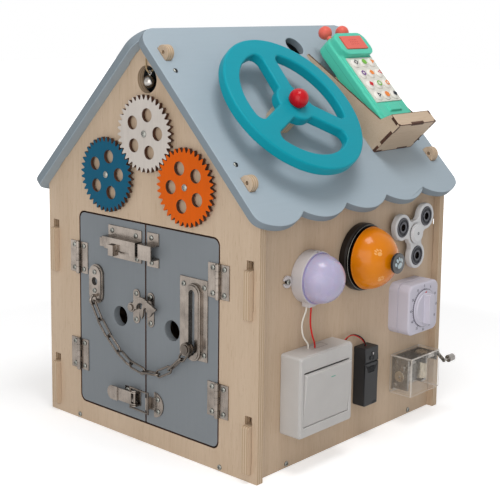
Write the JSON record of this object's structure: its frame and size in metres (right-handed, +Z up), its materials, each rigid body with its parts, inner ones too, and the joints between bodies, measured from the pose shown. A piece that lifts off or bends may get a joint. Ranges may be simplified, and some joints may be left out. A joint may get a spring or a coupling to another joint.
{
  "type": "wooden busy board house",
  "caption": "House-shaped wooden busy board with latched double doors, turning gears and wheel, toy phone, switch, lamp, bell, spinner, timer and music box.",
  "frame": {"origin": "centre of the house plan on the plane of its underside", "axes": "+Z up, -Y out of the front gable with the doors, +X out of the wall with the switch, ridge along Y"},
  "size_m": [0.3862, 0.355, 0.4504],
  "materials": {
    "plywood": "satin birch plywood",
    "roof_paint": "matt blue-grey paint on plywood",
    "door_paint": "matt grey paint on plywood",
    "zinc": "zinc-plated screw steel",
    "satin_nickel": "satin nickel plate",
    "bright_nickel": "bright nickel plate",
    "blue_wood": "blue paint on plywood",
    "white_wood": "white paint on plywood",
    "orange_wood": "orange paint on plywood",
    "jute": "twisted beige cord",
    "teal_wood": "teal paint on plywood",
    "red_gloss": "gloss red ball",
    "mint_plastic": "moulded mint plastic",
    "coral_plastic": "moulded coral plastic",
    "keypad_silicone": "white silicone",
    "white_plastic": "white moulded plastic",
    "lavender_plastic": "lavender milk plastic",
    "red_lead": "red wire insulation",
    "white_lead": "white wire insulation",
    "dark_plastic": "dark grey moulded plastic",
    "black_plastic": "black moulded plastic",
    "bell_base_paint": "dark paint on steel",
    "bell_paint": "orange enamel on steel",
    "bearing_steel": "bearing steel",
    "clear_plastic": "clear acrylic",
    "movement_steel": "grey movement plate",
    "drum_metal": "pale brass drum"
  },
  "bodies": {
    "house": {"front_panel": "plywood", "back_panel": "plywood", "left_wall": "plywood", "right_wall": "plywood", "floor_panel": "plywood", "roof_left": "roof_paint", "roof_right": "roof_paint", "screws": "zinc", "frame_hinges": "satin_nickel", "wheel_axle": "plywood", "holder_panels": "plywood", "lamp_housing": "white_plastic", "lamp_dome": "lavender_plastic", "lamp_lead_red": "red_lead", "lamp_lead_white": "white_lead", "battery_lead": "red_lead", "switch_box": "white_plastic", "battery_box": "dark_plastic", "bell_base": "bell_base_paint", "bell_dome": "bell_paint", "spinner_hub": "white_plastic", "timer_case": "white_plastic", "music_cover": "clear_plastic", "music_movement": "movement_steel"},
    "left_door": {"left_door": "door_paint", "left_hinge_leaves": "satin_nickel", "left_door_screws": "zinc", "bolt_case": "satin_nickel", "chain_anchor": "satin_nickel", "hook_plate_left": "satin_nickel", "toggle_base": "satin_nickel"},
    "right_door": {"right_door": "door_paint", "right_hinge_leaves": "satin_nickel", "right_door_screws": "zinc", "bolt_keeper": "satin_nickel", "hook_plate_right": "satin_nickel", "toggle_catch": "satin_nickel", "chain_track": "satin_nickel"},
    "bolt": {"bolt_bar": "satin_nickel"},
    "hook": {"hook_arm": "satin_nickel"},
    "lever": {"toggle_lever": "satin_nickel"},
    "bail": {"toggle_bail": "satin_nickel"},
    "chain": {"door_chain": "satin_nickel"},
    "blue_gear": {"gear_blue": "blue_wood"},
    "white_gear": {"gear_white": "white_wood"},
    "orange_gear": {"gear_orange": "orange_wood"},
    "bell_on_cord": {"jingle_bell": "bright_nickel", "bell_cord": "jute"},
    "wheel": {"steering_wheel": "teal_wood", "wheel_knob": "red_gloss"},
    "phone": {"phone_shell": "mint_plastic", "phone_screen_and_knobs": "coral_plastic", "phone_keypad": "keypad_silicone"},
    "rocker": {"switch_rocker": "white_plastic"},
    "desk_bell_button": {"bell_button": "black_plastic"},
    "spinner": {"spinner_body": "white_plastic", "spinner_bearings": "bearing_steel"},
    "timer_dial": {"timer_knob": "white_plastic"},
    "music_drum": {"music_cylinder": "drum_metal"},
    "crank": {"music_crank": "bright_nickel"}
  },
  "joints": [
    {"name": "left_door_swing", "type": "hinge", "parent": "house", "child": "left_door", "pos_m": [-0.1085, -0.1653, 0.135], "axis": [0, 0, -1], "range_deg": [0, 120]},
    {"name": "right_door_swing", "type": "hinge", "parent": "house", "child": "right_door", "pos_m": [0.1085, -0.1653, 0.135], "axis": [0, 0, 1], "range_deg": [0, 120]},
    {"name": "bolt_slide", "type": "slide", "parent": "left_door", "child": "bolt", "axis": [-1, 0, 0], "range_m": [-0.02, 0]},
    {"name": "hook_lift", "type": "hinge", "parent": "left_door", "child": "hook", "pos_m": [-0.0132, -0.1705, 0.152], "axis": [0, -1, 0], "range_deg": [0, 70]},
    {"name": "lever_lift", "type": "hinge", "parent": "left_door", "child": "lever", "pos_m": [-0.012, -0.168, 0.0495], "axis": [0, 0, 1], "range_deg": [0, 80]},
    {"name": "bail_swing", "type": "hinge", "parent": "lever", "child": "bail", "pos_m": [-0.018, -0.1687, 0.0495], "axis": [0, 0, -1], "range_deg": [0, 104]},
    {"name": "chain_swing", "type": "hinge", "parent": "left_door", "child": "chain", "pos_m": [-0.0756, -0.1707, 0.1441], "axis": [-0.0615, 0.955, -0.29], "range_deg": [0, 55]},
    {"name": "white_gear_turn", "type": "hinge", "parent": "house", "child": "white_gear", "pos_m": [0.004, -0.1665, 0.3405], "axis": [0, -1, 0], "continuous": true},
    {"name": "blue_gear_turn", "type": "hinge", "parent": "house", "child": "blue_gear", "pos_m": [-0.0565, -0.1665, 0.291], "axis": [0, -1, 0], "continuous": true},
    {"name": "orange_gear_turn", "type": "hinge", "parent": "house", "child": "orange_gear", "pos_m": [0.0645, -0.1665, 0.291], "axis": [0, -1, 0], "continuous": true},
    {"name": "bell_swing", "type": "hinge", "parent": "house", "child": "bell_on_cord", "pos_m": [0.0025, -0.158, 0.4196], "axis": [0, 1, 0], "range_deg": [-15, 15]},
    {"name": "wheel_turn", "type": "hinge", "parent": "house", "child": "wheel", "pos_m": [0.1132, -0.059, 0.37114], "axis": [0.7193, 0, 0.6947], "continuous": true},
    {"name": "phone_lift", "type": "slide", "parent": "house", "child": "phone", "axis": [-0.1241, 0, 0.9923], "range_m": [0, 0.07]},
    {"name": "rocker_tilt", "type": "hinge", "parent": "house", "child": "rocker", "pos_m": [0.1745, -0.0765, 0.08], "axis": [0, -1, 0], "range_deg": [0, 10]},
    {"name": "bell_press", "type": "slide", "parent": "house", "child": "desk_bell_button", "axis": [-1, 0, 0], "range_m": [0, 0.003], "stiffness_N_per_m": 300},
    {"name": "spinner_spin", "type": "hinge", "parent": "house", "child": "spinner", "pos_m": [0.163, 0.0995, 0.2205], "axis": [1, 0, 0], "continuous": true},
    {"name": "timer_turn", "type": "hinge", "parent": "house", "child": "timer_dial", "pos_m": [0.1825, 0.0965, 0.137], "axis": [-1, 0, 0], "range_deg": [0, 330]},
    {"name": "crank_turn", "type": "hinge", "parent": "house", "child": "crank", "pos_m": [0.1785, 0.134, 0.0755], "axis": [0, 1, 0], "continuous": true},
    {"name": "drum_turn", "type": "hinge", "parent": "house", "child": "music_drum", "pos_m": [0.1675, 0.119, 0.06], "axis": [0, 0, 1], "continuous": true}
  ],
  "couplings": [
    {"joint": "right_door_swing", "follows": "left_door_swing", "ratio": 1},
    {"joint": "bail_swing", "follows": "lever_lift", "ratio": 1.3},
    {"joint": "blue_gear_turn", "follows": "white_gear_turn", "ratio": -1},
    {"joint": "orange_gear_turn", "follows": "white_gear_turn", "ratio": -1},
    {"joint": "drum_turn", "follows": "crank_turn", "ratio": 0.041667}
  ]
}
